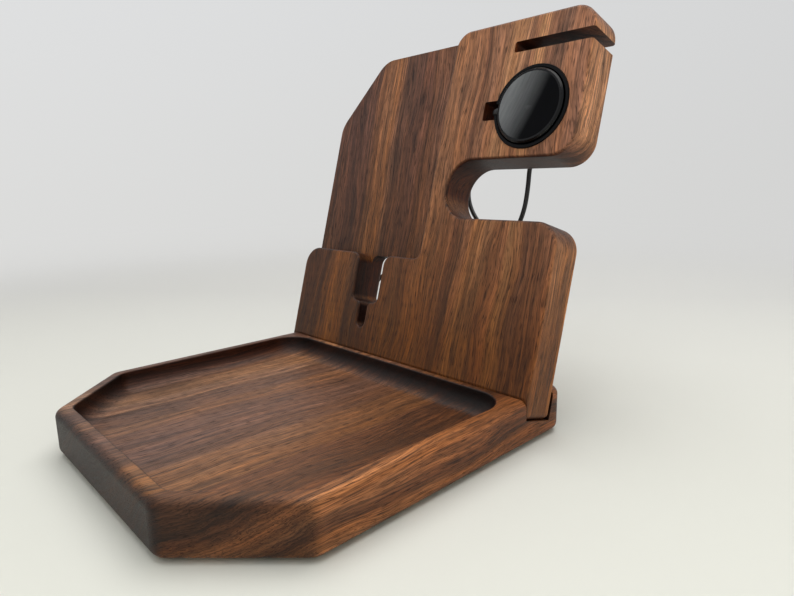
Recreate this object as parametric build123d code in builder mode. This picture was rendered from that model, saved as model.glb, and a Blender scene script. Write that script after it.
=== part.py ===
"""Walnut bedside charging stand: a hollowed tray with a leaning board plugged into it.

Millimetres, +Z up, X to the right and Y to the back as seen from the front.
The origin is on the table, under the middle of the stand's overall footprint.
"""
from build123d import *
import math
import os

os.makedirs("parts", exist_ok=True)

# ---------------------------------------------------------------- driving sizes

# Tray: one board with two clipped front corners and a milled pocket
tray_width = 188.0
tray_front = 156.0          # from the upright's face to the front edge
tray_rear = 32.0            # from the upright's face to the back edge
tray_thickness = 22.0
front_corner_cut = 38.0
tray_corner_radius = 8.0
tray_edge_radius = 4.0
pocket_rim = 7.2
pocket_back_strip = 3.2     # wood left between the pocket and the upright
pocket_depth = 11.0
pocket_front_radius = 8.5
pocket_back_radius = 16.0
pocket_cove_radius = 8.0
pocket_lip_radius = 0.8

# Thin self-adhesive pads under the tray
pad_diameter = 12.0
pad_thickness = 1.0
pad_side_inset = 24.0
pad_front_inset = 56.0
pad_back_inset = 16.0

# Upright: one leaning board in two steps of thickness
lean_angle = 15.5
board_thickness = 22.0
board_top = 186.0           # measured up the board from the tray's top
foot_depth = 9.0            # how far the board goes into the tray
foot_gap = 0.3
seat_gap = 0.2
foot_corner_radius = 3.0
front_ease_radius = 1.5
rear_ease_radius = 2.5
top_cut_width = 34.0
top_cut_height = 41.0
top_cut_radius = 15.0
outer_corner_radius = 12.0

# Phone pocket, milled into the board's left part
phone_pocket_depth = 11.2
ledge_height = 59.2
ledge_corner_radius = 12.0
pocket_wall_inset = 83.6    # from the board's right side to the pocket's wall
pocket_inner_radius = 4.5
pocket_wall_top_radius = 9.0

# Connector slot, open at the ledge and cut right through the board
connector_x = -28.4
connector_width = 22.0
connector_shoulder_height = 30.0
connector_mouth_radius = 6.0
connector_foot_radius = 4.0
connector_arch_radius = 5.0
connector_rear_radius = 3.0
slit_width = 6.6
slit_bottom_height = 14.6
slit_mouth_radius = 3.0

# Bay under the charger arm, open to the right
bay_bottom_height = 83.2
bay_top_height = 114.2
bay_reach = 72.2            # from the board's right side to the bay's end
bay_end_flat = 1.0          # straight part between the end's two rounded corners

# Thin slot across the top of the arm, open to the right
arm_slot_length = 43.0
arm_slot_height = 171.0
arm_slot_width = 5.6
arm_slot_corner_radius = 1.2

# Recess for the watch charger, and the notch its cord leaves through
charger_inset = 27.5        # from the board's right side to the charger's middle
charger_height = 139.3
recess_radius = 20.3
recess_depth = 8.5
notch_reach = 28.2          # from the charger's middle to the notch's far end
notch_height = 10.0
notch_corner_radius = 1.0

# Adapter cup pressed into the recess
cup_gap = 0.1
cup_wall = 1.0
cup_floor = 1.3
cup_lip_radius = 20.95
cup_lip_height = 0.6
cup_slot_width = 5.8

# Charger puck
puck_radius = 18.5
puck_stand_out = 2.0
puck_seat_gap = 0.1
puck_wall = 1.7
puck_floor = 2.0
puck_foot_radius = 1.0
rim_height = 1.1
rim_bevel = 0.8
face_thickness = 2.0
face_dish = 0.6
board_radius = 15.0
board_height = 1.2
ferrite_radius = 14.0
ferrite_height = 1.0
winding_inner_radius = 7.0
winding_outer_radius = 13.0
magnet_radius = 5.5

# Cord and its moulded elbow
cord_diameter = 2.6
elbow_diameter = 4.4
elbow_bend_radius = 3.6
elbow_setting = 4.6         # depth of the elbow's axis below the puck's face
elbow_taper_length = 5.0
elbow_end = 23.5            # depth behind the board's face
elbow_groove_depth = 0.45
elbow_groove_width = 0.8
elbow_groove_pitch = 2.0
elbow_groove_count = 3
gland_gap = 0.05

# Coil of the cord's spare length
coil_outer_radius = 18.3
coil_pitch = 3.1
coil_layer_rise = 3.05
coil_half_turns = 6         # in each layer
coil_x = -100.0
coil_tail = 12.0

# Plug
plug_width = 15.6
plug_length = 20.0
plug_edge_radius = 2.0
relief_length = 11.0
relief_end_diameter = 3.6
relief_root_diameter = 5.6
shell_width = 12.0
shell_height = 4.5
shell_length = 12.0
shell_wall = 0.35
tongue_height = 1.9
tongue_setback = 0.6
contact_width = 1.1
contact_length = 7.5
contact_height = 0.15
contact_pitch = 2.3
contact_count = 4

# ---------------------------------------------------------------- placement

lean = math.radians(lean_angle)
lean_sin = math.sin(lean)
lean_cos = math.cos(lean)

# The stand reaches from the tray's front edge to the board's rear top corner
rear_corner_up = board_top - rear_ease_radius
rear_corner_in = board_thickness - rear_ease_radius
rear_reach = rear_corner_up * lean_sin + rear_corner_in * lean_cos + rear_ease_radius
face_y = (tray_front - rear_reach) / 2
tray_top = pad_thickness + tray_thickness

front_edge_y = face_y - tray_front
rear_edge_y = face_y + tray_rear
half_width = tray_width / 2
pocket_wall_x = half_width - pocket_wall_inset
charger_x = half_width - charger_inset
notch_left_x = charger_x - notch_reach
bay_left_x = half_width - bay_reach
arm_slot_left_x = half_width - arm_slot_length

# Sketches on board_face are drawn as seen from the front: x to the right, y up the board
board_face = Plane(origin=(0, face_y, tray_top), x_dir=(1, 0, 0), z_dir=(0, -lean_cos, lean_sin))
side_plane = Plane(origin=(0, face_y, tray_top), x_dir=(0, 1, 0), z_dir=(1, 0, 0))
charger_plane = Plane(
    origin=board_face.from_local_coords((charger_x, charger_height, 0)),
    x_dir=(1, 0, 0),
    z_dir=board_face.z_dir,
)
board_normal = Axis(board_face.origin, board_face.z_dir)


def side_point(up, depth):
    """A point of the side view, from its place up the board and behind its face."""
    return (up * lean_sin + depth * lean_cos, up * lean_cos - depth * lean_sin)


# ---------------------------------------------------------------- tray

pocket_half_width = half_width - pocket_rim
pocket_front_y = front_edge_y + pocket_rim
pocket_back_y = face_y - pocket_back_strip
pocket_corner_cut = front_corner_cut - pocket_rim * (2 - math.sqrt(2))
pocket_corner_radii = [pocket_back_radius, *[pocket_front_radius] * 4, pocket_back_radius]

with BuildPart() as base_tray:
    with BuildSketch(Plane.XY.offset(pad_thickness)):
        with BuildLine():
            FilletPolyline(
                (-half_width, rear_edge_y),
                (-half_width, front_edge_y + front_corner_cut),
                (-half_width + front_corner_cut, front_edge_y),
                (half_width - front_corner_cut, front_edge_y),
                (half_width, front_edge_y + front_corner_cut),
                (half_width, rear_edge_y),
                radius=tray_corner_radius,
                close=True,
            )
        make_face()
    extrude(amount=tray_thickness)
    top_and_bottom = base_tray.faces().filter_by(Axis.Z)
    fillet(top_and_bottom.edges(), radius=tray_edge_radius)

    with BuildSketch(Plane.XY.offset(tray_top)):
        with BuildLine():
            FilletPolyline(
                (-pocket_half_width, pocket_back_y),
                (-pocket_half_width, pocket_front_y + pocket_corner_cut),
                (-pocket_half_width + pocket_corner_cut, pocket_front_y),
                (pocket_half_width - pocket_corner_cut, pocket_front_y),
                (pocket_half_width, pocket_front_y + pocket_corner_cut),
                (pocket_half_width, pocket_back_y),
                radius=pocket_corner_radii,
                close=True,
            )
        make_face()
    extrude(amount=-pocket_depth, mode=Mode.SUBTRACT)
    pocket_floor = base_tray.faces().filter_by(Axis.Z).filter_by_position(
        Axis.Z, tray_top - pocket_depth - 0.1, tray_top - pocket_depth + 0.1
    )
    fillet(pocket_floor.edges(), radius=pocket_cove_radius)
    tray_rim = base_tray.faces().filter_by(Axis.Z).sort_by(Axis.Z)[-1]
    fillet(tray_rim.inner_wires()[0].edges(), radius=pocket_lip_radius)

    # Cross groove: upright front wall, floor square to the board, rear wall along its back
    groove_floor = -(foot_depth + seat_gap)
    groove_back = board_thickness + foot_gap
    groove_headroom = tray_edge_radius
    rear_wall_top = (groove_headroom + groove_back * lean_sin) / lean_cos
    with BuildSketch(side_plane):
        with BuildLine():
            Polyline(
                (0, groove_headroom),
                (0, groove_floor / lean_cos),
                side_point(groove_floor, groove_back),
                side_point(rear_wall_top, groove_back),
                close=True,
            )
        make_face()
    extrude(amount=tray_width, both=True, mode=Mode.SUBTRACT)
base_tray.part.label = "base_tray"

# ---------------------------------------------------------------- pads

with BuildPart() as anti_slip_pads:
    pad_x = half_width - pad_side_inset
    with BuildSketch(Plane.XY):
        with Locations(
            (-pad_x, front_edge_y + pad_front_inset),
            (pad_x, front_edge_y + pad_front_inset),
            (-pad_x, rear_edge_y - pad_back_inset),
            (pad_x, rear_edge_y - pad_back_inset),
        ):
            Circle(pad_diameter / 2)
    extrude(amount=pad_thickness)
anti_slip_pads.part.label = "anti_slip_pads"

# ---------------------------------------------------------------- upright board

connector_left = connector_x - connector_width / 2
connector_right = connector_x + connector_width / 2
slit_left = connector_x - slit_width / 2
slit_right = connector_x + slit_width / 2
slit_end_radius = slit_width * 0.49
bay_end_radius = (bay_top_height - bay_bottom_height - bay_end_flat) / 2

right_side_points = [
    (half_width, board_top),
    (half_width, bay_top_height),
    (bay_left_x, bay_top_height),
    (bay_left_x, bay_bottom_height),
    (half_width, bay_bottom_height),
    (half_width, -foot_depth),
    (-half_width, -foot_depth),
]
right_side_radii = [
    outer_corner_radius,
    outer_corner_radius,
    bay_end_radius,
    bay_end_radius,
    outer_corner_radius,
    foot_corner_radius,
    foot_corner_radius,
]

# The slot below its mouth, from the left wall round the slit to the right wall
slot_points = [
    (connector_left, connector_shoulder_height),
    (slit_left, connector_shoulder_height),
    (slit_left, slit_bottom_height),
    (slit_right, slit_bottom_height),
    (slit_right, connector_shoulder_height),
    (connector_right, connector_shoulder_height),
]
slot_radii = [
    connector_foot_radius,
    slit_mouth_radius,
    slit_end_radius,
    slit_end_radius,
    slit_mouth_radius,
    connector_foot_radius,
]

with BuildPart() as upright_panel:
    # Back step, with the top left corner cut off
    with BuildSketch(board_face.offset(-phone_pocket_depth)):
        with BuildLine():
            FilletPolyline(
                (-half_width, board_top - top_cut_height),
                (-half_width + top_cut_width, board_top),
                *right_side_points,
                radius=[top_cut_radius, top_cut_radius, *right_side_radii],
                close=True,
            )
        make_face()
        with BuildLine():
            FilletPolyline(
                (connector_left, ledge_height),
                *slot_points,
                (connector_right, ledge_height),
                radius=[connector_arch_radius, *slot_radii, connector_arch_radius],
                close=True,
            )
        make_face(mode=Mode.SUBTRACT)
    extrude(amount=phone_pocket_depth - board_thickness)
    rear_face = upright_panel.faces().sort_by(board_normal)[0]
    fillet(rear_face.outer_wire().edges(), radius=rear_ease_radius)
    rear_face = upright_panel.faces().sort_by(board_normal)[0]
    fillet(rear_face.inner_wires()[0].edges(), radius=connector_rear_radius)

    # Front step, with the ledge and the slot's open mouth
    with BuildSketch(board_face.offset(-phone_pocket_depth)):
        with BuildLine():
            FilletPolyline(
                (-half_width, ledge_height),
                (connector_left, ledge_height),
                *slot_points,
                (connector_right, ledge_height),
                (pocket_wall_x, ledge_height),
                (pocket_wall_x, board_top),
                *right_side_points,
                radius=[
                    ledge_corner_radius,
                    connector_mouth_radius,
                    *slot_radii,
                    connector_mouth_radius,
                    pocket_inner_radius,
                    pocket_wall_top_radius,
                    *right_side_radii,
                ],
                close=True,
            )
        make_face()
    extrude(amount=phone_pocket_depth)
    front_face = upright_panel.faces().sort_by(board_normal)[-1]
    fillet(front_face.outer_wire().edges(), radius=front_ease_radius)

    # Vertical bevel that lets the leaning foot stand against the groove's front wall
    bevel_start = foot_gap / math.tan(lean)
    with BuildSketch(side_plane):
        with BuildLine():
            Polyline(
                (foot_gap, bevel_start),
                (foot_gap, -tray_thickness),
                (-board_thickness, -tray_thickness),
                (-board_thickness, bevel_start),
                close=True,
            )
        make_face()
    extrude(amount=tray_width, both=True, mode=Mode.SUBTRACT)

    # Thin slot across the arm
    with BuildSketch(board_face):
        with BuildLine():
            FilletPolyline(
                (half_width + arm_slot_width, arm_slot_height + arm_slot_width / 2),
                (arm_slot_left_x, arm_slot_height + arm_slot_width / 2),
                (arm_slot_left_x, arm_slot_height - arm_slot_width / 2),
                (half_width + arm_slot_width, arm_slot_height - arm_slot_width / 2),
                radius=arm_slot_corner_radius,
                close=True,
            )
        make_face()
    extrude(amount=board_thickness, both=True, mode=Mode.SUBTRACT)

    # Charger recess and cord notch
    notch_right_x = charger_x - math.sqrt(recess_radius**2 - (notch_height / 2) ** 2) + 1
    with BuildSketch(charger_plane):
        Circle(recess_radius)
    extrude(amount=-recess_depth, mode=Mode.SUBTRACT)
    with BuildSketch(board_face):
        with Locations(((notch_left_x + notch_right_x) / 2, charger_height)):
            RectangleRounded(notch_right_x - notch_left_x, notch_height, notch_corner_radius)
    extrude(amount=-board_thickness, mode=Mode.SUBTRACT)
upright_panel.part.label = "upright_panel"

# ---------------------------------------------------------------- adapter cup

cup_radius = recess_radius - cup_gap
cup_bore = cup_radius - cup_wall

with BuildPart() as charger_cup:
    with BuildSketch(charger_plane.offset(-recess_depth)):
        Circle(cup_radius)
    extrude(amount=recess_depth)
    with BuildSketch(charger_plane):
        Circle(cup_lip_radius)
    extrude(amount=cup_lip_height, taper=25)
    with BuildSketch(charger_plane.offset(cup_floor - recess_depth)):
        Circle(cup_bore)
    extrude(amount=recess_depth, mode=Mode.SUBTRACT)
    with BuildSketch(charger_plane.offset(cup_floor - recess_depth)):
        with Locations((-cup_lip_radius, 0)):
            Rectangle(cup_lip_radius, cup_slot_width)
    extrude(amount=recess_depth, mode=Mode.SUBTRACT)
charger_cup.part.label = "charger_cup"

# ---------------------------------------------------------------- charger puck

puck_bottom = cup_floor - recess_depth + puck_seat_gap
rim_bottom = puck_stand_out - rim_height
cavity_floor = puck_bottom + puck_floor
cavity_radius = puck_radius - puck_wall
face_underside = puck_stand_out - face_thickness
elbow_level = puck_stand_out - elbow_setting

with BuildPart() as puck_shell:
    with BuildSketch(charger_plane.offset(puck_bottom)):
        Circle(puck_radius)
    extrude(amount=rim_bottom - puck_bottom)
    fillet(puck_shell.faces().sort_by(board_normal)[0].edges(), radius=puck_foot_radius)
    with BuildSketch(charger_plane.offset(cavity_floor)):
        Circle(cavity_radius)
    extrude(amount=rim_bottom - cavity_floor, mode=Mode.SUBTRACT)
    gland_plane = Plane(
        origin=charger_plane.from_local_coords((-puck_radius - 1, 0, elbow_level)),
        x_dir=(0, 1, 0),
        z_dir=(1, 0, 0),
    )
    with BuildSketch(gland_plane):
        Circle(elbow_diameter / 2 + gland_gap)
    extrude(amount=puck_radius / 2, mode=Mode.SUBTRACT)
puck_shell.part.label = "puck_shell"

with BuildPart() as puck_rim:
    with BuildSketch(charger_plane.offset(rim_bottom)):
        Circle(puck_radius)
        Circle(cavity_radius, mode=Mode.SUBTRACT)
    extrude(amount=rim_height)
    outer_top = puck_rim.faces().sort_by(board_normal)[-1].outer_wire()
    chamfer(outer_top.edges(), length=rim_bevel)
puck_rim.part.label = "puck_rim"

with BuildPart() as puck_face:
    with BuildSketch(charger_plane.offset(face_underside)):
        Circle(cavity_radius)
    extrude(amount=face_thickness)
    # A shallow dish: a ball whose cap is as wide as the face and as deep as the dish
    dish_rim_radius = cavity_radius - 0.4
    dish_ball_radius = (dish_rim_radius**2 + face_dish**2) / (2 * face_dish)
    with Locations(charger_plane.offset(puck_stand_out - face_dish + dish_ball_radius)):
        Sphere(dish_ball_radius, mode=Mode.SUBTRACT)
puck_face.part.label = "puck_face"

with BuildPart() as circuit_board:
    with BuildSketch(charger_plane.offset(cavity_floor)):
        Circle(board_radius)
    extrude(amount=board_height)
circuit_board.part.label = "circuit_board"

ferrite_bottom = cavity_floor + board_height
with BuildPart() as ferrite_disc:
    with BuildSketch(charger_plane.offset(ferrite_bottom)):
        Circle(ferrite_radius)
    extrude(amount=ferrite_height)
ferrite_disc.part.label = "ferrite_disc"

winding_bottom = ferrite_bottom + ferrite_height
with BuildPart() as charging_winding:
    with BuildSketch(charger_plane.offset(winding_bottom)):
        Circle(winding_outer_radius)
        Circle(winding_inner_radius, mode=Mode.SUBTRACT)
    extrude(amount=face_underside - winding_bottom)
charging_winding.part.label = "charging_winding"

with BuildPart() as centre_magnet:
    with BuildSketch(charger_plane.offset(winding_bottom)):
        Circle(magnet_radius)
    extrude(amount=face_underside - winding_bottom)
centre_magnet.part.label = "centre_magnet"

# ---------------------------------------------------------------- cord's elbow

cord_x = (notch_left_x + notch_right_x) / 2
elbow_start = charger_plane.from_local_coords((-cavity_radius, 0, elbow_level))
elbow_corner = board_face.from_local_coords((cord_x, charger_height, elbow_level))
taper_start = board_face.from_local_coords(
    (cord_x, charger_height, -elbow_end + elbow_taper_length)
)
elbow_tip = board_face.from_local_coords((cord_x, charger_height, -elbow_end))
tip_plane = Plane(origin=elbow_tip, x_dir=(1, 0, 0), z_dir=-board_face.z_dir)

with BuildPart() as puck_strain_relief:
    with BuildLine() as elbow_path:
        FilletPolyline(elbow_start, elbow_corner, taper_start, radius=elbow_bend_radius)
    with BuildSketch(Plane(origin=elbow_start, z_dir=(-1, 0, 0))):
        Circle(elbow_diameter / 2)
    sweep(path=elbow_path.wire())
    with BuildSketch(tip_plane.offset(-elbow_taper_length)):
        Circle(elbow_diameter / 2)
    with BuildSketch(tip_plane):
        Circle(cord_diameter / 2 + 0.4)
    loft()
    for groove in range(elbow_groove_count):
        groove_offset = elbow_taper_length + (groove + 0.5) * elbow_groove_pitch
        with BuildSketch(tip_plane.offset(-groove_offset)):
            Circle(elbow_diameter / 2 + 1)
            Circle(elbow_diameter / 2 - elbow_groove_depth, mode=Mode.SUBTRACT)
        extrude(amount=elbow_groove_width, mode=Mode.SUBTRACT)
puck_strain_relief.part.label = "puck_strain_relief"

# ---------------------------------------------------------------- cord

# Behind the board, as (across, up the board, behind its face): out of the elbow, down in a
# loose turn that shows in the bay, back over its own root, then down past the connector slot
cord_points_behind_board = [
    (cord_x, charger_height, elbow_end),
    (cord_x, charger_height, 35.5),
    (36.0, 139.0, 46.5),
    (22.5, 136.5, 52.0),
    (8.5, 128.5, 52.0),
    (1.0, 113.5, 49.5),
    (5.4, 99.5, 47.5),
    (15.5, 86.0, 45.5),
    (28.5, 78.5, 44.0),
    (40.8, 83.0, 42.5),
    (45.8, 95.5, 41.0),
    (46.6, 109.0, 39.5),
    (46.4, 121.5, 37.5),
    (51.0, 134.5, 33.5),
    (47.5, 148.5, 30.0),
    (34.5, 155.0, 29.0),
    (20.0, 150.5, 30.0),
    (9.0, 138.5, 31.0),
    (0.0, 121.0, 32.0),
    (-10.0, 101.0, 32.0),
    (-21.5, 80.5, 31.5),
    (-35.0, 61.0, 31.0),
    (-49.3, 44.6, 31.0),
]
# Then to the table, as (across, behind the board's face line, above the table)
cord_points_to_table = [
    (-61.0, 43.5, 39.5),
    (-69.0, 45.2, 24.5),
]
cord_end = (-72.5, 45.7, 17.0)
# The coil's own lead runs on from there
coil_lead_points = [
    (-76.0, 46.2, 9.5),
    (-83.5, 46.2, 2.9),
    (-92.5, 46.2, 1.3),
]


def above_table(across, behind, above):
    """A point of the route beyond the board, placed on the stand."""
    return Vector(across, face_y + behind, above)


cord_route = [
    Vector(*board_face.from_local_coords((across, up, -behind)))
    for across, up, behind in cord_points_behind_board
]
cord_route += [above_table(*point) for point in cord_points_to_table]
cord_route.append(above_table(*cord_end))


def corner_radii(points):
    """The largest even arcs that a route's runs leave room for, one for each corner."""
    radii = []
    for before, corner, after in zip(points, points[1:], points[2:]):
        first_run = corner - before
        second_run = after - corner
        half_turn = math.radians(first_run.get_angle(second_run)) / 2
        shorter_run = min(first_run.length, second_run.length)
        radii.append(0.45 * shorter_run / math.tan(half_turn))
    return radii


cord_radii = corner_radii(cord_route)
print("cord runs", [round((b - a).length, 1) for a, b in zip(cord_route, cord_route[1:])])
print("cord radii", [round(radius, 1) for radius in cord_radii])

with BuildPart() as charger_cord:
    with BuildLine() as cord_path:
        FilletPolyline(*cord_route, radius=cord_radii)
    with BuildSketch(Plane(origin=cord_route[0], z_dir=cord_route[1] - cord_route[0])):
        Circle(cord_diameter / 2)
    sweep(path=cord_path.wire())
charger_cord.part.label = "charger_cord"
cord_section = math.pi * cord_diameter**2 / 4
cord_length = cord_path.wire().length
print("cord length", round(cord_length, 1))
print("cord volume ratio", round(charger_cord.part.volume / (cord_section * cord_length), 4))

# ---------------------------------------------------------------- coil of spare cord

# The coil winds inwards on the table in half turns, climbs one layer, and winds out again
coil_lead = [cord_route[-1]] + [above_table(*point) for point in coil_lead_points]
coil_start = Vector(coil_x, coil_lead[-1].Y, coil_lead[-1].Z)
coil_lead.append(coil_start)
lead_radii = corner_radii(coil_lead)
print("coil lead radii", [round(radius, 1) for radius in lead_radii])
low_level = coil_start.Z
high_level = low_level + coil_layer_rise
half_radii = [coil_outer_radius - turn * coil_pitch / 2 for turn in range(coil_half_turns)]
climb_radius = coil_outer_radius - coil_half_turns * coil_pitch / 2


def half_turn_edge(start, radius, side):
    """A level half turn, clockwise from above; side is -1 from the front, 1 from the back."""
    middle = start + Vector(side * radius, -side * radius, 0)
    end = start + Vector(0, -side * 2 * radius, 0)
    return ThreePointArc(start, middle, end)


with BuildPart() as cord_coil:
    with BuildLine() as coil_path:
        FilletPolyline(*coil_lead, radius=lead_radii)
        here = coil_start
        side = -1
        for radius in half_radii:
            half_turn_edge(here, radius, side)
            here = here + Vector(0, -side * 2 * radius, 0)
            side = -side
        # Climbing half turn: two equal tilted arcs
        climb_reach = math.sqrt(climb_radius**2 + coil_layer_rise**2 / 4)
        climb_end = here + Vector(0, -side * 2 * climb_radius, coil_layer_rise)
        climb_middle = (here + climb_end) * 0.5 + Vector(side * climb_reach, 0, 0)
        TangentArc(here, climb_middle, tangent=(side, 0, 0))
        TangentArc(climb_middle, climb_end, tangent=climb_end - here)
        here = climb_end
        side = -side
        for radius in reversed(half_radii):
            half_turn_edge(here, radius, side)
            here = here + Vector(0, -side * 2 * radius, 0)
            side = -side
        coil_exit = here + Vector(coil_tail, 0, 0)
        Line(here, coil_exit)
    with BuildSketch(Plane(origin=coil_lead[0], z_dir=coil_lead[1] - coil_lead[0])):
        Circle(cord_diameter / 2)
    sweep(path=coil_path.wire())
cord_coil.part.label = "cord_coil"
coil_length = coil_path.wire().length
print("coil length", round(coil_length, 1), "whole cord", round(cord_length + coil_length, 1))
print("coil volume ratio", round(cord_coil.part.volume / (cord_section * coil_length), 4))


def least_gap(wire, diameter, spacing, skipped):
    """The least clear distance between stretches of a wound tube, measured on points."""
    count = int(wire.length / spacing)
    samples = [wire.position_at(index / count) for index in range(count + 1)]
    apart = int(skipped / spacing)
    return min(
        (samples[second] - samples[first]).length
        for first in range(len(samples))
        for second in range(first + apart, len(samples))
    ) - diameter


print("coil least gap", round(least_gap(coil_path.wire(), cord_diameter, 1.0, 20.0), 2))

# ---------------------------------------------------------------- plug

plug_level = coil_exit.Z
plug_height = 2 * plug_level
relief_plane = Plane(origin=coil_exit, x_dir=(0, 1, 0), z_dir=(1, 0, 0))
body_plane = relief_plane.offset(relief_length)
mouth_plane = body_plane.offset(plug_length)

with BuildPart() as plug_strain_relief:
    with BuildSketch(relief_plane):
        Circle(relief_end_diameter / 2)
    with BuildSketch(body_plane):
        Circle(relief_root_diameter / 2)
    loft()
plug_strain_relief.part.label = "plug_strain_relief"

with BuildPart() as plug_body:
    with BuildSketch(body_plane):
        RectangleRounded(plug_width, plug_height, plug_edge_radius)
    extrude(amount=plug_length)
    end_faces = plug_body.faces().filter_by(Axis.X)
    fillet(end_faces.edges(), radius=plug_edge_radius / 2)
plug_body.part.label = "plug_body"

with BuildPart() as plug_shell:
    with BuildSketch(mouth_plane):
        Rectangle(shell_width, shell_height)
        Rectangle(shell_width - 2 * shell_wall, shell_height - 2 * shell_wall, mode=Mode.SUBTRACT)
    extrude(amount=shell_length)
plug_shell.part.label = "plug_shell"

tongue_width = shell_width - 2 * shell_wall
tongue_level = -shell_height / 2 + shell_wall + tongue_height / 2
tongue_length = shell_length - tongue_setback
with BuildPart() as plug_tongue:
    with BuildSketch(mouth_plane):
        with Locations((0, tongue_level)):
            Rectangle(tongue_width, tongue_height)
    extrude(amount=tongue_length)
plug_tongue.part.label = "plug_tongue"

with BuildPart() as plug_contacts:
    with BuildSketch(mouth_plane.offset(tongue_length - contact_length - tongue_setback)):
        with Locations((0, tongue_level + (tongue_height + contact_height) / 2)):
            with GridLocations(contact_pitch, 0, contact_count, 1):
                Rectangle(contact_width, contact_height)
    extrude(amount=contact_length)
plug_contacts.part.label = "plug_contacts"

# ---------------------------------------------------------------- export

export_step(base_tray.part, "parts/base_tray.step")
export_step(anti_slip_pads.part, "parts/anti_slip_pads.step")
export_step(upright_panel.part, "parts/upright_panel.step")
export_step(charger_cup.part, "parts/charger_cup.step")
export_step(puck_shell.part, "parts/puck_shell.step")
export_step(puck_rim.part, "parts/puck_rim.step")
export_step(puck_face.part, "parts/puck_face.step")
export_step(circuit_board.part, "parts/circuit_board.step")
export_step(ferrite_disc.part, "parts/ferrite_disc.step")
export_step(charging_winding.part, "parts/charging_winding.step")
export_step(centre_magnet.part, "parts/centre_magnet.step")
export_step(puck_strain_relief.part, "parts/puck_strain_relief.step")
export_step(charger_cord.part, "parts/charger_cord.step")
export_step(cord_coil.part, "parts/cord_coil.step")
export_step(plug_strain_relief.part, "parts/plug_strain_relief.step")
export_step(plug_body.part, "parts/plug_body.step")
export_step(plug_shell.part, "parts/plug_shell.step")
export_step(plug_tongue.part, "parts/plug_tongue.step")
export_step(plug_contacts.part, "parts/plug_contacts.step")
print("face_y", round(face_y, 3), "tray_top", tray_top, "pocket back", round(pocket_back_y, 3))
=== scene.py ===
"""Walnut bedside charging stand, dressed for a picture: wood, charger, cord and plug."""
import math

import bmesh
import bpy
from mathutils import Matrix, Vector


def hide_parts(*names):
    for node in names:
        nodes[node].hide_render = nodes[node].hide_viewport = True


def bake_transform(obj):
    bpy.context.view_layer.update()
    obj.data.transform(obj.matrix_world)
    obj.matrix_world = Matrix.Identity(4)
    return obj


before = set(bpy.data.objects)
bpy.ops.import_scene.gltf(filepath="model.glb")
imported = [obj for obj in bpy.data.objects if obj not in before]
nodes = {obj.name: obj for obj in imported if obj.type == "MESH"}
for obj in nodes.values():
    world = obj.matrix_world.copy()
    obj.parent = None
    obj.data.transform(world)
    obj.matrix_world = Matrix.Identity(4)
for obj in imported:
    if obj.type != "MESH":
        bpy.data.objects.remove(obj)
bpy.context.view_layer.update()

# ---------------------------------------------------------------- the view
# The stand as its owner sees it: from beyond the front right corner, a little above the tray,
# through a short lens, so that the near corner looks large.

eye = Vector((0.23471, -0.17186, 0.12217))
view_forward = Vector((-0.70988, 0.67653, -0.19588))
view_right = Vector((0.69215, 0.72157, -0.01623))
view_up = view_right.cross(view_forward).normalized()
view_right = view_forward.cross(view_up).normalized()

camera_data = bpy.data.cameras.new("view")
camera_data.sensor_width = 36.0
camera_data.lens = 26.354
camera_data.clip_start = 0.01
camera_data.clip_end = 20.0
camera = bpy.data.objects.new("view", camera_data)
turn = Matrix((view_right, view_up, -view_forward)).transposed()
camera.matrix_world = Matrix.Translation(eye) @ turn.to_4x4()
bpy.context.scene.collection.objects.link(camera)
bpy.context.scene.camera = camera
bpy.context.scene.view_settings.view_transform = "Standard"

# ---------------------------------------------------------------- table and backdrop
# A white paper sweep all round the stand: flat where it stands, rising into a soft wall. Near the stand
# it is lit paper that takes the stand's shadow; further out the camera sees a glow in its place. Both
# carry painted light falloff: the paper darker away from the camera and lighter to the right, the glow
# lighter higher up and to the left.

sweep_flat_radius = 0.75
sweep_cove_radius = 0.55
sweep_wall_height = 2.2
sweep_sides = 96
sweep_cove_steps = 12
# Painted light falloff: the paper darkens away from the camera, and the wall's glow lightens higher up.
paper_near_colour = (0.745, 0.75, 0.70, 1.0)
paper_far_colour = (0.60, 0.60, 0.59, 1.0)
wall_low_colour = (0.70, 0.70, 0.69, 1.0)
wall_high_colour = (0.73, 0.74, 0.755, 1.0)
wall_colour_height = 0.9
glow_from = 0.35
glow_to = 0.95
away_direction = (-0.62, 0.78, 0)
side_direction = (0.70, 0.72, 0)


def new_material(name):
    """An empty material, to be wired up by hand."""
    material = bpy.data.materials.new(name)
    material.use_nodes = True
    material.node_tree.nodes.clear()
    return material


def add(material, kind, *inputs, **settings):
    """Adds a node, gives it its settings, and fills its sockets in order; a socket links."""
    node = material.node_tree.nodes.new(kind)
    for name, value in settings.items():
        setattr(node, name, value)
    for index, value in enumerate(inputs):
        put(material, node.inputs[index], value)
    return node


def put(material, socket, value):
    """Links an output to a socket, or sets the socket to a plain value."""
    if value is None:
        return
    if isinstance(value, bpy.types.NodeSocket):
        material.node_tree.links.new(value, socket)
    else:
        socket.default_value = value


def surface(material, shader, **sockets):
    """Adds a shader with its sockets by name, and makes it the material's surface."""
    for name, value in sockets.items():
        put(material, shader.inputs[name.replace("_", " ").title()], value)
    output = add(material, "ShaderNodeOutputMaterial")
    put(material, output.inputs["Surface"], shader.outputs[0])


def maths(material, operation, *values):
    """One step of arithmetic on plain numbers."""
    return add(material, "ShaderNodeMath", *values, operation=operation).outputs[0]


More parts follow.
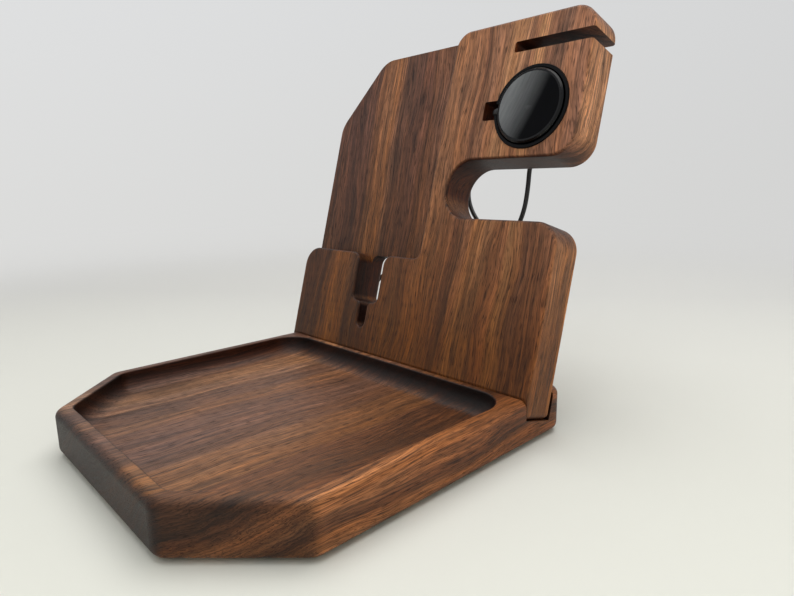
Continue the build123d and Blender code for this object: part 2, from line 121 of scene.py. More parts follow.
def sweep_material():
    """Paper that takes shadow near the stand, and further out is seen as a glow; both with painted light
    falloff in their colour.
    """
    material = new_material("white_paper")
    place = add(material, "ShaderNodeTexCoord").outputs["Object"]
    parts = add(material, "ShaderNodeSeparateXYZ", place)
    level = add(material, "ShaderNodeCombineXYZ", parts.outputs["X"], parts.outputs["Y"])
    distance = add(material, "ShaderNodeVectorMath", level.outputs[0], operation="LENGTH")
    far = add(material, "ShaderNodeMapRange", distance.outputs["Value"], glow_from, glow_to)
    far.interpolation_type = "SMOOTHSTEP"
    height = add(material, "ShaderNodeMapRange", parts.outputs["Z"], 0.0, wall_colour_height)
    wall_colour = add(material, "ShaderNodeMix", data_type="RGBA")
    put(material, wall_colour.inputs["Factor"], height.outputs[0])
    put(material, wall_colour.inputs["A"], wall_low_colour)
    put(material, wall_colour.inputs["B"], wall_high_colour)
    ray = add(material, "ShaderNodeLightPath")
    seen = maths(material, "MAXIMUM", ray.outputs["Is Camera Ray"], ray.outputs["Is Glossy Ray"])
    seen = maths(material, "MAXIMUM", seen, ray.outputs["Is Transmission Ray"])
    glow_share = maths(material, "MULTIPLY", seen, far.outputs[0])
    # Painted light falloff across the view: the paper darker further away and lighter to the right, the
    # glow lighter to the left.
    depth = add(material, "ShaderNodeVectorMath", place, away_direction, operation="DOT_PRODUCT")
    away = add(material, "ShaderNodeMapRange", depth.outputs["Value"], -0.15, 0.35)
    paper_colour = add(material, "ShaderNodeMix", data_type="RGBA")
    put(material, paper_colour.inputs["Factor"], away.outputs[0])
    put(material, paper_colour.inputs["A"], paper_near_colour)
    put(material, paper_colour.inputs["B"], paper_far_colour)
    side = add(material, "ShaderNodeVectorMath", place, side_direction, operation="DOT_PRODUCT")
    paper_painted_side_light = add(material, "ShaderNodeMapRange", side.outputs["Value"], -0.4, 0.4, 0.97, 1.09)
    wall_painted_side_light = add(material, "ShaderNodeMapRange", side.outputs["Value"], -0.9, 0.9, 1.03, 0.93)
    paper_tone = add(
        material, "ShaderNodeVectorMath", paper_colour.outputs["Result"], operation="SCALE"
    )
    put(material, paper_tone.inputs["Scale"], paper_painted_side_light.outputs[0])
    wall_tone = add(
        material, "ShaderNodeVectorMath", wall_colour.outputs["Result"], operation="SCALE"
    )
    put(material, wall_tone.inputs["Scale"], wall_painted_side_light.outputs[0])
    paper = add(material, "ShaderNodeBsdfDiffuse", paper_tone.outputs[0])
    glow = add(material, "ShaderNodeEmission", wall_tone.outputs[0], 1.0)
    blend = add(material, "ShaderNodeMixShader", glow_share, paper.outputs[0], glow.outputs[0])
    surface(material, blend)
    return material


def sweep_mesh():
    """The sweep's side line, turned right round."""
    outline = [(0.0, 0.0), (sweep_flat_radius, 0.0)]
    for step in range(1, sweep_cove_steps + 1):
        angle = math.pi / 2 * step / sweep_cove_steps
        outline.append((
            sweep_flat_radius + sweep_cove_radius * math.sin(angle),
            sweep_cove_radius * (1 - math.cos(angle)),
        ))
    outline.append((sweep_flat_radius + sweep_cove_radius, sweep_wall_height))
    shape = bmesh.new()
    line = [shape.verts.new((x, 0, z)) for x, z in outline]
    edges = [shape.edges.new(pair) for pair in zip(line, line[1:])]
    bmesh.ops.spin(
        shape, geom=line + edges, cent=(0, 0, 0), axis=(0, 0, 1),
        angle=2 * math.pi, steps=sweep_sides,
    )
    bmesh.ops.remove_doubles(shape, verts=shape.verts, dist=1e-5)
    bmesh.ops.recalc_face_normals(shape, faces=shape.faces)
    mesh = bpy.data.meshes.new("paper_sweep")
    shape.to_mesh(mesh)
    shape.free()
    mesh.polygons.foreach_set("use_smooth", [True] * len(mesh.polygons))
    return mesh


sweep = bpy.data.objects.new("paper_sweep", sweep_mesh())
sweep.data.materials.append(sweep_material())
bpy.context.scene.collection.objects.link(sweep)

# ---------------------------------------------------------------- light
# Soft daylight from the room, one wide soft lamp overhead, a little behind the stand, and a
# smaller and weaker one in front of it, where a window would be.

room_light_colour = (0.93, 0.96, 1.0, 1.0)
room_light_strength = 0.25

world = bpy.data.worlds.new("room")
world.use_nodes = True
background = world.node_tree.nodes["Background"]
background.inputs["Color"].default_value = room_light_colour
background.inputs["Strength"].default_value = room_light_strength
bpy.context.scene.world = world


def soft_lamp(name, place, target, width, watts, colour):
    """A square lamp of an even colour, turned to face its target."""
    data = bpy.data.lights.new(name, "AREA")
    data.shape = "SQUARE"
    data.size = width
    data.energy = watts
    data.color = colour
    lamp = bpy.data.objects.new(name, data)
    lamp.location = place
    lamp.rotation_mode = "QUATERNION"
    lamp.rotation_quaternion = (Vector(target) - Vector(place)).to_track_quat("-Z", "Y")
    lamp.visible_camera = False
    bpy.context.scene.collection.objects.link(lamp)


soft_lamp(
    "overhead", place=(-0.10, 0.15, 1.30), target=(0, 0, 0.05), width=1.4, watts=16.0,
    colour=(1.0, 0.985, 0.965),
)
soft_lamp(
    "window", place=(0.30, -0.80, 1.15), target=(0, 0, 0.1), width=0.5, watts=1.8,
    colour=(0.96, 0.98, 1.0),
)

# ---------------------------------------------------------------- tray
# A square board of oiled walnut, glued up from staves, with its grain from front to back. Its
# pocket is milled, so the cutter crosses the grain, and the pores stay as fine dark dashes.

tray_grain = [
    (-94, (92, 64, 52)),
    (-86, (104, 74, 60)),
    (-79, (114, 82, 64)),
    (-74, (136, 100, 76)),
    (-62, (138, 102, 78)),
    (-56, (121, 87, 68)),
    (-54, (148, 111, 88)),
    (-52, (103, 74, 59)),
    (-38, (107, 77, 62)),
    (-32, (121, 85, 62)),
    (-24, (123, 86, 64)),
    (-20, (108, 77, 62)),
    (0, (107, 77, 64)),
    (16, (107, 76, 61)),
    (21, (122, 86, 64)),
    (42, (119, 83, 61)),
    (47, (100, 68, 54)),
    (68, (88, 60, 46)),
    (73, (112, 74, 56)),
    (84, (158, 108, 82)),
    (92, (146, 101, 78)),
    (98, (104, 70, 55)),
    (105, (134, 92, 68)),
]


def paint(red, green, blue):
    """A colour as a paint chart gives it, 0 to 255, turned into the renderer's own scale."""
    parts = [(value / 255) ** 2.2 for value in (red, green, blue)]
    return (*parts, 1.0)


def noise(material, place, across, through, along, detail=3.0, rough=0.55):
    """Soft random value, 0 to 1, drawn out by these lengths in millimetres."""
    stretched = add(
        material, "ShaderNodeMapping", place, None, None, (1 / across, 1 / through, 1 / along)
    )
    texture = add(material, "ShaderNodeTexNoise", stretched.outputs[0])
    texture.inputs["Scale"].default_value = 1.0
    texture.inputs["Detail"].default_value = detail
    texture.inputs["Roughness"].default_value = rough
    return texture.outputs["Fac"]


def ranged(material, value, low, high, to_low, to_high):
    """Stretches a value from one range to another, and holds it there."""
    spread = add(material, "ShaderNodeMapRange", value, low, high, to_low, to_high)
    return spread.outputs[0]


def shaded(material, colour, value):
    """Makes a colour lighter or darker by a plain factor."""
    scaled = add(material, "ShaderNodeVectorMath", colour, operation="SCALE")
    put(material, scaled.inputs["Scale"], value)
    return scaled.outputs[0]


def mixed(material, share, first, second):
    """From the first colour to the second, by a share of 0 to 1."""
    mix = add(material, "ShaderNodeMix", data_type="RGBA")
    for socket in mix.inputs:
        if socket.enabled and socket.name in ("Factor", "A", "B"):
            put(material, socket, {"Factor": share, "A": first, "B": second}[socket.name])
    found = [socket for socket in mix.outputs if socket.enabled]
    return found[0]


# Sizes of the wood's markings in millimetres: across the grain, through the board, along it
sway_size = (60, 60, 150)
waver_size = (9, 9, 70)
year_line_size = (3.4, 26, 130)
streak_size = (0.95, 4.0, 26)
ripple_size = (26, 26, 8)
warmth_size = (7, 9, 70)
pore_size = (0.34, 0.5, 6.0)
ragged_size = (2.5, 12, 14)

sway_reach = 7
waver_reach = 1.5
year_line_depth = 0.50
streak_depth = 0.78
ripple_depth = 0.07
pore_share = 0.7
pore_colour = paint(40, 24, 18)
warm_tint = (1.05, 0.97, 0.92)
cool_tint = (0.96, 0.98, 1.12)
# The darkening of the milled hollows: painted shade.
painted_hollow_shade = (0.32, 0.17, 0.08)
no_tint = (1.0, 1.0, 1.0, 1.0)
right_from = -5
right_to = 50


def multiplied(material, colour, tint):
    """A colour seen through a tint, part by part."""
    product = add(material, "ShaderNodeVectorMath", colour, tint, operation="MULTIPLY")
    return product.outputs[0]


def marked(material, colour, value, depth):
    """Darkens and lightens a colour by up to this depth, as a soft random value goes."""
    return shaded(material, colour, ranged(material, value, 0.3, 0.7, 1 - depth, 1 + depth))


def bent_grain(material, place, parts, slant, bow, seed):
    """Where a place lies across the grain, once that leans, sways, wavers and curves."""
    across, through, along = parts
    shifted = add(material, "ShaderNodeVectorMath", place, (seed, 0, 0), operation="ADD").outputs[0]
    sway = noise(material, shifted, *sway_size, 2.0)
    sway = ranged(material, sway, 0.25, 0.75, -sway_reach, sway_reach)
    waver = noise(material, shifted, *waver_size, 3.0)
    waver = ranged(material, waver, 0.2, 0.8, -waver_reach, waver_reach)
    lean_aside = maths(material, "MULTIPLY", through, slant)
    curve = maths(material, "MULTIPLY", maths(material, "MULTIPLY", along, along), bow)
    bent = across
    for shift in (sway, waver, lean_aside, curve):
        bent = maths(material, "ADD", bent, shift)
    return bent


def band_colour(material, bent, bands):
    """The broad stripes, each at its own place across the board, with soft steps between."""
    low, high = bands[0][0], bands[-1][0]
    ramp = add(material, "ShaderNodeValToRGB", ranged(material, bent, low, high, 0, 1))
    ramp.color_ramp.interpolation = "EASE"
    while len(ramp.color_ramp.elements) < len(bands):
        ramp.color_ramp.elements.new(0.5)
    for element, (at, colour) in zip(ramp.color_ramp.elements, bands):
        element.position = (at - low) / (high - low)
    for element, (at, colour) in zip(ramp.color_ramp.elements, bands):
        element.color = paint(*colour)
    return ramp.outputs["Color"]


def fine_grain(material, colour, grain, streak, open_pore):
    """Year lines, fine streaks, a slight ripple, warmer and cooler places, and dark pores."""
    colour = marked(material, colour, noise(material, grain, *year_line_size, 4.0, 0.6), year_line_depth)
    colour = marked(material, colour, streak, streak_depth)
    colour = marked(material, colour, noise(material, grain, *ripple_size, 2.0), ripple_depth)
    warmth = ranged(material, noise(material, grain, *warmth_size, 2.0), 0.35, 0.65, 0, 1)
    warm = multiplied(material, colour, warm_tint)
    cool = multiplied(material, colour, cool_tint)
    colour = mixed(material, warmth, cool, warm)
    return mixed(material, maths(material, "MULTIPLY", open_pore, pore_share), colour, pore_colour)


def flared(material, colour, parts, grain, figures):
    """Adds the darker flares of the grain, ragged along their edges."""
    across, through, along = parts
    ragged = ranged(material, noise(material, grain, *ragged_size, 3.0), 0.2, 0.8, -0.3, 0.3)
    level_place = add(material, "ShaderNodeCombineXYZ", across, 0.0, along).outputs[0]
    for middle_across, middle_along, half_width, half_length, strength in figures:
        offset = add(
            material, "ShaderNodeVectorMath", level_place, (middle_across, 0, middle_along),
            operation="SUBTRACT",
        ).outputs[0]
        offset = multiplied(material, offset, (1 / half_width, 0, 1 / half_length))
        distance = add(material, "ShaderNodeVectorMath", offset, operation="LENGTH")
        distance = maths(material, "ADD", distance.outputs["Value"], ragged)
        colour = shaded(material, colour, ranged(material, distance, 0.2, 1.1, 1 - strength, 1))
    return colour


def corner_tone_and_painted_light(material, parts, tints, reach):
    """Blends the four tints of a board's near left, near right, far left and far right: partly the
    wood's own tone, partly painted light and shade.
    """
    right_share = ranged(material, parts[0], right_from, right_to, 0, 1)
    near_tint = mixed(material, right_share, (*tints[0], 1.0), (*tints[1], 1.0))
    far_tint = mixed(material, right_share, (*tints[2], 1.0), (*tints[3], 1.0))
    far_share = ranged(material, parts[2], reach[0], reach[1], 0, 1)
    return mixed(material, far_share, near_tint, far_tint)


def walnut(
    name, turn, origin, bands, slant, bow, seed, tints, reach, end_grain_and_shade_tint, painted_side_light, hollow, figures
):
    """Oiled walnut. turn and origin bring the grain upright; bands are its broad stripes. The four tints
    colour its near left, near right, far left and far right, over reach along it: partly the wood's own
    tone, partly painted light and shade. end_grain_and_shade_tint darkens its cut ends, as end grain is
    darker, and further with painted shade; painted_side_light lightens its two long edges with painted
    light. hollow says how far a place lies in a milled hollow, which is darkened there with painted
    shade. figures are darker flares of the grain: place, half sizes, strength. All the tints are matched
    to the photographed stand, and so they hold some of the light that it stood in, not just its wood."""
    material = new_material(name)
    object_place = add(material, "ShaderNodeTexCoord").outputs["Object"]
    moved = add(
        material, "ShaderNodeVectorMath", object_place, origin, operation="SUBTRACT"
    ).outputs[0]
    place = add(material, "ShaderNodeMapping", moved, None, turn, (1000, 1000, 1000)).outputs[0]
    parts = add(material, "ShaderNodeSeparateXYZ", place).outputs
    across, through, along = parts

    bent = bent_grain(material, place, (across, through, along), slant, bow, seed)
    grain = add(material, "ShaderNodeCombineXYZ", bent, through, along).outputs[0]
    streak = noise(material, grain, *streak_size, 3.0, 0.75)
    pore = noise(material, grain, *pore_size, 1.0, 0.4)
    open_pore = ranged(material, pore, 0.56, 0.65, 0, 1)
    colour = band_colour(material, bent, bands)
    colour = fine_grain(material, colour, grain, streak, open_pore)
    colour = flared(material, colour, (across, through, along), grain, figures)
    tint = corner_tone_and_painted_light(material, (across, through, along), tints, reach)
    colour = multiplied(material, colour, tint)

    # Cut ends are darkened, as end grain is, and further with painted shade; milled hollows get painted
    # shade, and long edges painted light. Cut ends, milled hollows and long edges each get their own
    # matched tone
    facing = add(material, "ShaderNodeTexCoord").outputs["Normal"]
    facing = add(material, "ShaderNodeMapping", facing, None, turn).outputs[0]
    facing = add(material, "ShaderNodeSeparateXYZ", facing).outputs
    cut_end = ranged(material, maths(material, "ABSOLUTE", facing[2]), 0.1, 0.9, 0, 1)
    colour = multiplied(material, colour, mixed(material, cut_end, no_tint, (*end_grain_and_shade_tint, 1.0)))
    hollow_shade = hollow(material, (across, through, along), facing)
    colour = multiplied(material, colour, mixed(material, hollow_shade, no_tint, (*painted_hollow_shade, 1.0)))
    lit_long_edge = maths(material, "POWER", maths(material, "ABSOLUTE", facing[0]), 4.0)
    lit_long_edge = maths(material, "MULTIPLY", lit_long_edge, maths(material, "SUBTRACT", 1.0, hollow_shade))
    colour = multiplied(material, colour, mixed(material, lit_long_edge, no_tint, (*painted_side_light, 1.0)))

    # Satin oil, duller over the pores, which the bump sinks
    roughness = ranged(material, streak, 0.2, 0.8, 0.40, 0.56)
    roughness = maths(material, "ADD", roughness, maths(material, "MULTIPLY", open_pore, 0.15))
    height = maths(material, "SUBTRACT", maths(material, "MULTIPLY", streak, 0.6), open_pore)
    bump = add(material, "ShaderNodeBump")
    put(material, bump.inputs["Height"], height)
    bump.inputs["Strength"].default_value = 0.35
    bump.inputs["Distance"].default_value = 0.00012
    wood = add(material, "ShaderNodeBsdfPrincipled")
    wood.inputs["Specular IOR Level"].default_value = 0.26
    surface(material, wood, base_color=colour, roughness=roughness, normal=bump.outputs[0])
    return material


def dress(name, material):
    """Gives a CAD node its material."""
    node = nodes[name]
    node.data.materials.clear()
    node.data.materials.append(material)


# The tray's outer surface starts beyond these, in millimetres
tray_inner_side = 90
tray_inner_front = -109.5
tray_inner_back = 64
tray_inner_corner = 164


def tray_hollow_shade_mask(material, place, facing):
    """Where painted shade goes: 1 on the pocket's walls and coves, and 0 on its floor and outside it."""
    side = maths(material, "ABSOLUTE", place[0])
    inside = maths(material, "LESS_THAN", side, tray_inner_side)
    before_back = maths(material, "LESS_THAN", place[2], tray_inner_back)
    inside = maths(material, "MULTIPLY", inside, before_back)
    behind_front = maths(material, "GREATER_THAN", place[2], tray_inner_front)
    inside = maths(material, "MULTIPLY", inside, behind_front)
    corner = maths(material, "SUBTRACT", side, place[2])
    within_corner = maths(material, "LESS_THAN", corner, tray_inner_corner)
    inside = maths(material, "MULTIPLY", inside, within_corner)
    level = maths(material, "MULTIPLY", facing[1], facing[1])
    return maths(material, "MULTIPLY", inside, maths(material, "SUBTRACT", 1.0, level))


tray_walnut = walnut(
    "tray_walnut",
    turn=(math.radians(90), 0, 0),
    origin=(0, 0, 0.012),
    bands=tray_grain,
    slant=1.2,
    bow=0.0004,
    seed=0,
    # The corner tints hold painted light and shade as well as the wood's tone; the cut ends' darkening
    # is partly painted shade, and the long edges' lightening is painted light.
    tints=[(0.88, 0.92, 0.90), (1.10, 1.02, 0.60), (1.08, 1.00, 0.78), (0.74, 0.58, 0.28)],
    reach=(-90, 40),
    end_grain_and_shade_tint=(0.16, 0.13, 0.14),
    painted_side_light=(1.08, 1.02, 1.06),
    hollow=tray_hollow_shade_mask,
    figures=[(-74, -52, 9, 22, 0.45), (-12, 22, 14, 12, 0.25), (60, -6, 16, 30, 0.2)],
)
dress("base_tray", tray_walnut)

# ---------------------------------------------------------------- pads under the tray
# Four thin round feet, punched from black rubber foam sheet, stuck on by their own glue.


def moulded(name, colour, roughness, grain_size, depth, metal=0.0, shine=0.5):
    """A plain material with a fine grain in its colour, its gloss and its height. grain_size is in
    millimetres, and depth in metres."""
    material = new_material(name)
    place = add(material, "ShaderNodeTexCoord").outputs["Object"]
    scaled = add(material, "ShaderNodeMapping", place, None, None, (1000, 1000, 1000)).outputs[0]
    fine = noise(material, scaled, grain_size, grain_size, grain_size, 4.0, 0.6)
    broad_size = grain_size * 25
    broad = noise(material, scaled, broad_size, broad_size, broad_size, 2.0)
    tint = marked(material, paint(*colour)[:3], fine, 0.15)
    tint = marked(material, tint, broad, 0.1)
    gloss = ranged(material, broad, 0.3, 0.7, roughness - 0.05, roughness + 0.05)
    bump = add(material, "ShaderNodeBump")
    put(material, bump.inputs["Height"], fine)
    bump.inputs["Strength"].default_value = 0.3
    bump.inputs["Distance"].default_value = depth
    body = add(material, "ShaderNodeBsdfPrincipled")
    body.inputs["Metallic"].default_value = metal
    body.inputs["Specular IOR Level"].default_value = shine
    surface(material, body, base_color=tint, roughness=gloss, normal=bump.outputs[0])
    return material


pad_rubber = moulded(
    "pad_rubber", colour=(42, 42, 42), roughness=0.85, grain_size=0.5, depth=0.00008
)
dress("anti_slip_pads", pad_rubber)

# ---------------------------------------------------------------- upright
# The same walnut, planed to 22 mm, with its grain up the board. The phone pocket is milled half
# way in, so its floor shows the stripes a little aside of the front's.

lean = math.radians(15.5)
lean_sin = math.sin(lean)
lean_cos = math.cos(lean)
face_y = 0.042835
tray_top = 0.023
board_grain = [
    (-104, (102, 68, 52)),
    (-92, (98, 66, 52)),
    (-88, (90, 60, 48)),
    (-73, (92, 62, 48)),
    (-67, (120, 82, 58)),
    (-60, (140, 95, 64)),
    (-53, (139, 94, 62)),
    (-47, (113, 78, 57)),
    (-44, (94, 64, 48)),
    (-25, (97, 65, 50)),
    (-20, (116, 79, 58)),
    (-6, (117, 80, 59)),
    (2, (125, 84, 60)),
    (12, (133, 91, 63)),
    (27, (132, 89, 62)),
    (31, (99, 66, 48)),
    (35, (112, 76, 54)),
    (40, (128, 86, 60)),
    (46, (139, 96, 64)),
    (54, (137, 94, 63)),
    (58, (118, 80, 56)),
    (63, (123, 82, 57)),
    (66, (151, 106, 70)),
    (70, (144, 99, 67)),
    (74, (114, 76, 54)),
    (78, (98, 66, 48)),
    (82, (117, 79, 57)),
    (94, (124, 83, 60)),
    (104, (112, 76, 55)),
]

# The board's outer surface starts beyond these, in millimetres; its cut corner rises at a slope
board_inner_side = 80
board_outer_side = 90
board_inner_top = 181
cut_corner_slope = 1.206
cut_corner_start = 252


def board_hollow_shade_mask(material, place, facing):
    """Where painted shade goes: 1 on the side walls and undersides of the slots and bay, and 0 on the
    board's outside.
    """
    side = maths(material, "ABSOLUTE", place[0])
    inside = ranged(material, side, board_inner_side, board_outer_side, 1, 0)
    below_top = maths(material, "LESS_THAN", place[2], board_inner_top)
    inside = maths(material, "MULTIPLY", inside, below_top)
    rise = maths(material, "MULTIPLY", place[0], cut_corner_slope)
    corner = maths(material, "SUBTRACT", place[2], rise)
    below_cut = maths(material, "LESS_THAN", corner, cut_corner_start)
    inside = maths(material, "MULTIPLY", inside, below_cut)
    square = maths(material, "MULTIPLY", facing[1], facing[1])
    wall = maths(material, "SUBTRACT", 1.0, square)
    sheltered = ranged(material, facing[2], 0.1, 0.6, 1, 0)
    wall = maths(material, "MULTIPLY", wall, sheltered)
    return maths(material, "MULTIPLY", inside, wall)


board_walnut = walnut(
    "board_walnut",
    turn=(lean, 0, 0),
    origin=(0, face_y, tray_top),
    bands=board_grain,
    slant=-0.9,
    bow=0.0,
    seed=300,
    # The corner tints hold painted light and shade as well as the wood's tone: darker and more golden
    # low down, much lighter at the top right. The cut ends' darkening is partly painted shade, and the
    # long edges' strong lightening is painted light.
    tints=[(0.65, 0.50, 0.15), (0.64, 0.50, 0.24), (1.03, 1.03, 1.06), (1.66, 1.80, 1.96)],
    reach=(20, 150),
    end_grain_and_shade_tint=(0.34, 0.27, 0.24),
    painted_side_light=(1.7, 1.75, 1.5),
    hollow=board_hollow_shade_mask,
    figures=[(-20, 155, 6, 13, 0.5), (-24, 128, 5, 24, 0.25), (26, 150, 7, 16, 0.3)],
)
dress("upright_panel", board_walnut)

# ---------------------------------------------------------------- charger cup
# A turned black plastic ring and floor, pressed into the board's recess, open where the cord
# leaves.

cup_plastic = moulded(
    "cup_plastic", colour=(8, 8, 10), roughness=0.40, grain_size=0.35, depth=0.00002, shine=0.12
)
dress("charger_cup", cup_plastic)

# ---------------------------------------------------------------- charger puck
# A black moulded shell with a thin dark ring, and a dished hard face. The face's grey side is a painted
# reflection, in its colour, so it stays put when the view moves, as a real reflection wouldn't. Inside:
# a circuit board, a ferrite disc, a copper winding, a magnet.

puck_plastic = moulded(
    "puck_plastic", colour=(7, 8, 11), roughness=0.32, grain_size=0.3, depth=0.00002, shine=0.15
)
dress("puck_shell", puck_plastic)
rim_plastic = moulded(
    "rim_plastic", colour=(10, 11, 14), roughness=0.26, grain_size=0.3, depth=0.00001, shine=0.25
)
dress("puck_rim", rim_plastic)


charger_across = 0.0665
charger_up = 0.1393
reflection_full_until = -14
reflection_gone_from = 5
face_slope = 0.4


def charger_face_material():
    """Dark satin face: a painted grey reflection on its upper left, fading to blue-black on its lower
    right, faintly streaked.
    """
    material = new_material("charger_face")
    middle = (
        charger_across,
        face_y + charger_up * lean_sin,
        tray_top + charger_up * lean_cos,
    )
    place = add(material, "ShaderNodeTexCoord").outputs["Object"]
    moved = add(material, "ShaderNodeVectorMath", place, middle, operation="SUBTRACT").outputs[0]
    turned = add(
        material, "ShaderNodeMapping", moved, None, (lean, 0, 0), (1000, 1000, 1000)
    ).outputs[0]
    parts = add(material, "ShaderNodeSeparateXYZ", turned)
    side, up = parts.outputs[0], parts.outputs[2]
    slope = maths(material, "ADD", side, maths(material, "MULTIPLY", up, -face_slope))
    across_slope = maths(material, "ADD", up, maths(material, "MULTIPLY", side, face_slope))
    drawn = add(material, "ShaderNodeCombineXYZ", slope, 0.0, across_slope).outputs[0]
    brushing = noise(material, drawn, 1.6, 1.6, 14, 3.0, 0.6)
    share = ranged(material, slope, reflection_full_until, reflection_gone_from, 0, 1)
    # The grey is a painted reflection, fading to the face's own blue-black.
    colour = mixed(material, share, paint(116, 118, 122), paint(2, 4, 10))
    colour = marked(material, colour, brushing, 0.14)
    bump = add(material, "ShaderNodeBump")
    put(material, bump.inputs["Height"], brushing)
    bump.inputs["Strength"].default_value = 0.02
    bump.inputs["Distance"].default_value = 0.00001
    body = add(material, "ShaderNodeBsdfPrincipled")
    body.inputs["Specular IOR Level"].default_value = 0.06
    gloss = ranged(material, brushing, 0.3, 0.7, 0.27, 0.35)
    surface(material, body, base_color=colour, roughness=gloss, normal=bump.outputs[0])
    return material


dress("puck_face", charger_face_material())
circuit_green = moulded(
    "circuit_green", colour=(28, 92, 58), roughness=0.4, grain_size=1.6, depth=0.00003
)
dress("circuit_board", circuit_green)
ferrite = moulded("ferrite", colour=(58, 58, 62), roughness=0.75, grain_size=0.3, depth=0.00004)
dress("ferrite_disc", ferrite)
copper_wire = moulded(
    "copper_wire", colour=(196, 118, 76), roughness=0.3, grain_size=0.4, depth=0.00003, metal=1.0
)
dress("charging_winding", copper_wire)
plated_steel = moulded(
    "plated_steel", colour=(188, 188, 186), roughness=0.24, grain_size=0.5, depth=0.00001, metal=1.0
)
dress("centre_magnet", plated_steel)

# ---------------------------------------------------------------- cord
# One round black cord, soft-jacketed. It leaves the charger through the notch, hangs in a loose
# turn behind the board, and its spare length is coiled on the table behind the tray.

cord_radius = 0.0013
cord_sides = 16
cord_x = 0.04306
elbow_end = 0.0235
cord_behind_board = [
    (cord_x, charger_up, 0.0115),
    (cord_x, charger_up, elbow_end),
    (cord_x, charger_up, 0.0355),
    (0.0360, 0.1390, 0.0465),
    (0.0225, 0.1365, 0.0520),
    (0.0040, 0.1285, 0.0520),
    (-0.0055, 0.1135, 0.0495),
    (0.0010, 0.0985, 0.0475),
    (0.0155, 0.0860, 0.0455),
    (0.0285, 0.0785, 0.0440),
    (0.0408, 0.0830, 0.0425),
    (0.0458, 0.0955, 0.0410),
    (0.0466, 0.1090, 0.0395),
    (0.0464, 0.1215, 0.0375),
    (0.0510, 0.1345, 0.0335),
    (0.0475, 0.1485, 0.0300),
    (0.0345, 0.1550, 0.0290),
    (0.0200, 0.1505, 0.0300),
    (0.0090, 0.1385, 0.0310),
    (0.0000, 0.1210, 0.0320),
    (-0.0100, 0.1010, 0.0320),
    (-0.0215, 0.0790, 0.0315),
    (-0.0340, 0.0550, 0.0310),
    (-0.0550, 0.0460, 0.0310),
]
cord_to_table = [
    (-0.0610, 0.0435, 0.0395),
    (-0.0690, 0.0452, 0.0245),
    (-0.0725, 0.0457, 0.0170),
    (-0.0760, 0.0462, 0.0095),
    (-0.0835, 0.0462, 0.0029),
    (-0.0925, 0.0462, 0.0013),
]
coil_start = Vector((-0.1000, face_y + 0.0462, 0.0013))
coil_outer_radius = 0.0183
coil_pitch = 0.0031
coil_layer_rise = 0.00305
coil_half_turns = 6
coil_tail = 0.012
half_turn_points = 8


def on_board(across, up, behind):
    """A place in the stand, from its place across, up and behind the board's face."""
    return Vector((
        across,
        face_y + up * lean_sin + behind * lean_cos,
        tray_top + up * lean_cos - behind * lean_sin,
    ))


def half_turn(start, radius, side, rise):
    """Points that lead a half turn of the coil, clockwise from above, and where it ends."""
    centre = start + Vector((0, -side * radius, 0))
    reach = radius / math.cos(math.pi / (2 * half_turn_points))
    points = []
    for step in range(half_turn_points):
        share = (step + 0.5) / half_turn_points
        angle = math.pi * share
        points.append(centre + Vector((
            side * reach * math.sin(angle),
            side * reach * math.cos(angle),
            rise * share,
        )))
    return points, start + Vector((0, -side * 2 * radius, rise))


def cord_points():
    """The cord's whole route, from inside the elbow to the plug."""
    points = [on_board(*place) for place in cord_behind_board]
    points += [Vector((across, face_y + behind, above)) for across, behind, above in cord_to_table]
    here = coil_start
    side = -1
    radii = [coil_outer_radius - turn * coil_pitch / 2 for turn in range(coil_half_turns)]
    climb = [(coil_outer_radius - coil_half_turns * coil_pitch / 2, coil_layer_rise)]
    level = [(radius, 0.0) for radius in radii]
    for radius, rise in level + climb + level[::-1]:
        turn_points, here = half_turn(here, radius, side, rise)
        points += turn_points
        side = -side
    points.append(here)
    points.append(here + Vector((coil_tail, 0, 0)))
    return points


def spline_points(control_points):
    """The points of the smooth line that these control points lead."""
    curve = bpy.data.curves.new("cord_line", "CURVE")
    curve.dimensions = "3D"
    curve.resolution_u = 10
    spline = curve.splines.new("NURBS")
    spline.points.add(len(control_points) - 1)
    for point, place in zip(spline.points, control_points):
        point.co = (*place, 1.0)
    spline.order_u = 3
    spline.use_endpoint_u = True
    line = bpy.data.objects.new("cord_line", curve)
    mesh = bpy.data.meshes.new_from_object(line)
    places = [vertex.co.copy() for vertex in mesh.vertices]
    bpy.data.objects.remove(line)
    bpy.data.meshes.remove(mesh)
    bpy.data.curves.remove(curve)
    return places


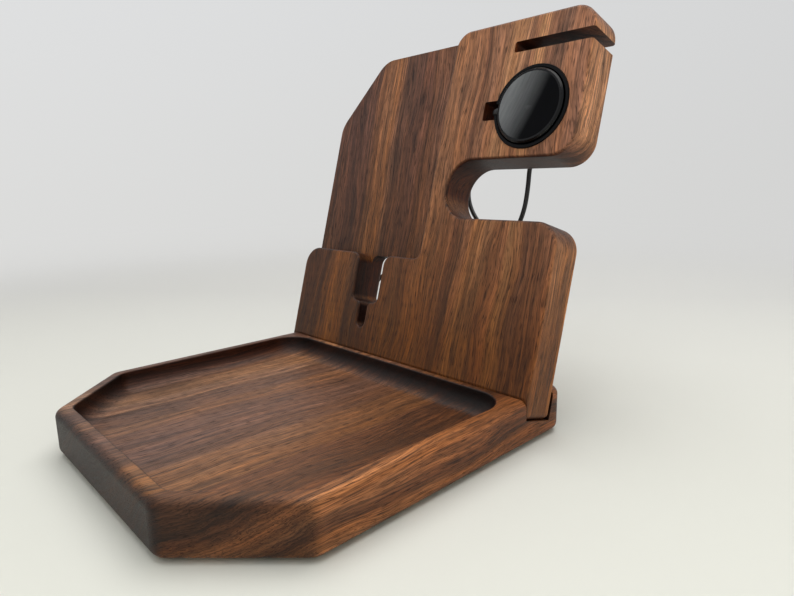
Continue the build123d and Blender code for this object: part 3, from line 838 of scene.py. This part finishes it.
def tube_mesh(name, line, radius, sides):
    """A round tube along a line, capped at both ends; its rings don't twist."""
    shape = bmesh.new()
    tangent = (line[1] - line[0]).normalized()
    across = tangent.orthogonal().normalized()
    rings = []
    for index, place in enumerate(line):
        before = line[max(index - 1, 0)]
        after = line[min(index + 1, len(line) - 1)]
        next_tangent = (after - before).normalized()
        across = (tangent.rotation_difference(next_tangent) @ across).normalized()
        tangent = next_tangent
        up = tangent.cross(across)
        ring = []
        for step in range(sides):
            angle = 2 * math.pi * step / sides
            offset = across * math.cos(angle) + up * math.sin(angle)
            ring.append(shape.verts.new(place + offset * radius))
        rings.append(ring)
    for first, second in zip(rings, rings[1:]):
        for step in range(sides):
            ahead = (step + 1) % sides
            shape.faces.new((first[step], first[ahead], second[ahead], second[step]))
    shape.faces.new(rings[0][::-1])
    shape.faces.new(rings[-1])
    bmesh.ops.recalc_face_normals(shape, faces=shape.faces)
    mesh = bpy.data.meshes.new(name)
    shape.to_mesh(mesh)
    shape.free()
    mesh.polygons.foreach_set("use_smooth", [True] * len(mesh.polygons))
    return mesh


cord_jacket = moulded(
    "cord_jacket", colour=(24, 24, 25), roughness=0.42, grain_size=0.4, depth=0.00002
)
cord_line = spline_points(cord_points())
cord = bpy.data.objects.new("charger_cord_whole", tube_mesh("cord", cord_line, cord_radius, cord_sides))
cord.data.materials.append(cord_jacket)
bpy.context.scene.collection.objects.link(cord)
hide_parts("charger_cord", "cord_coil")
reaches_table = cord_points()[len(cord_behind_board) + 2]
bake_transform(cord)
dress("puck_strain_relief", cord_jacket)

# ---------------------------------------------------------------- plug
# A flat black moulded plug with a plated steel shell, a black tongue and four contacts.

plug_plastic = moulded(
    "plug_plastic", colour=(26, 26, 28), roughness=0.4, grain_size=0.3, depth=0.00002
)
tongue_plastic = moulded(
    "tongue_plastic", colour=(36, 36, 38), roughness=0.5, grain_size=0.3, depth=0.00002
)
contact_gold = moulded(
    "contact_gold", colour=(214, 170, 92), roughness=0.28, grain_size=0.3, depth=0.00001, metal=1.0
)
dress("plug_strain_relief", cord_jacket)
dress("plug_body", plug_plastic)
dress("plug_shell", plated_steel)
dress("plug_tongue", tongue_plastic)
dress("plug_contacts", contact_gold)
